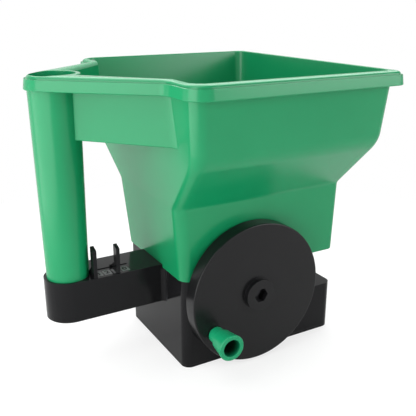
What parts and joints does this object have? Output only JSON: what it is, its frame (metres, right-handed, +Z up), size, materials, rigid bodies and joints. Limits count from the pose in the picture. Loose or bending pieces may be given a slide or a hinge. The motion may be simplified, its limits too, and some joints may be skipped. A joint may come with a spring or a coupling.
{
  "type": "hand spreader",
  "caption": "Hand-held broadcast spreader with an open hopper, tubular grip, sliding outlet gate and a crank wheel that spins the throwing disc through gears.",
  "frame": {"origin": "on the ground, under the axis of the throwing disc, on the bottom cover's flat face", "axes": "+X to the throwing side, away from the handle; +Y away from the crank wheel; +Z up"},
  "size_m": [0.241, 0.213, 0.2242],
  "materials": {
    "green_plastic": "satin moulded",
    "black_plastic": "glossy moulded",
    "nylon": "natural moulded",
    "steel": "zinc plated"
  },
  "bodies": {
    "spreader_body": {"hopper": "green_plastic", "handle_tube": "green_plastic", "handle_arm": "black_plastic", "base_housing": "black_plastic", "bottom_cover": "black_plastic", "crank_bush": "nylon", "pinion_outer_bush": "nylon", "pinion_inner_bush": "nylon", "lower_bush": "nylon", "deck_bush": "nylon", "roof_bush": "nylon", "cover_screws": "steel", "hopper_screws": "steel", "tube_screw": "steel"},
    "crank": {"crank_wheel": "black_plastic", "crank_bolt": "steel", "crank_washer": "steel", "crank_nut": "steel", "knob_pin": "steel"},
    "knob": {"crank_knob": "green_plastic"},
    "pinion_set": {"pinion_shaft": "steel", "ring_pinion": "nylon", "drive_bevel": "nylon"},
    "rotor": {"disc_shaft": "steel", "disc_bevel": "nylon", "throwing_disc": "black_plastic", "disc_clip": "steel", "stirrer": "black_plastic"},
    "gate": {"gate_plate": "black_plastic", "gate_tab": "black_plastic"}
  },
  "joints": [
    {"name": "crank_turn", "type": "hinge", "parent": "spreader_body", "child": "crank", "pos_m": [0, -0.0512, 0.0578], "axis": [0, 1, 0], "continuous": true},
    {"name": "knob_spin", "type": "hinge", "parent": "crank", "child": "knob", "pos_m": [-0.03804, -0.0735, 0.03375], "axis": [0, 1, 0], "continuous": true},
    {"name": "pinion_spin", "type": "hinge", "parent": "spreader_body", "child": "pinion_set", "pos_m": [0, -0.0245, 0.0218], "axis": [0, 1, 0], "continuous": true},
    {"name": "disc_spin", "type": "hinge", "parent": "spreader_body", "child": "rotor", "pos_m": [0, 0, 0.0218], "axis": [0, 0, 1], "continuous": true},
    {"name": "gate_slide", "type": "slide", "parent": "spreader_body", "child": "gate", "axis": [1, 0, 0], "range_m": [-0.014, 0.007]}
  ],
  "couplings": [
    {"joint": "pinion_spin", "follows": "crank_turn", "ratio": 5},
    {"joint": "disc_spin", "follows": "crank_turn", "ratio": 5}
  ]
}
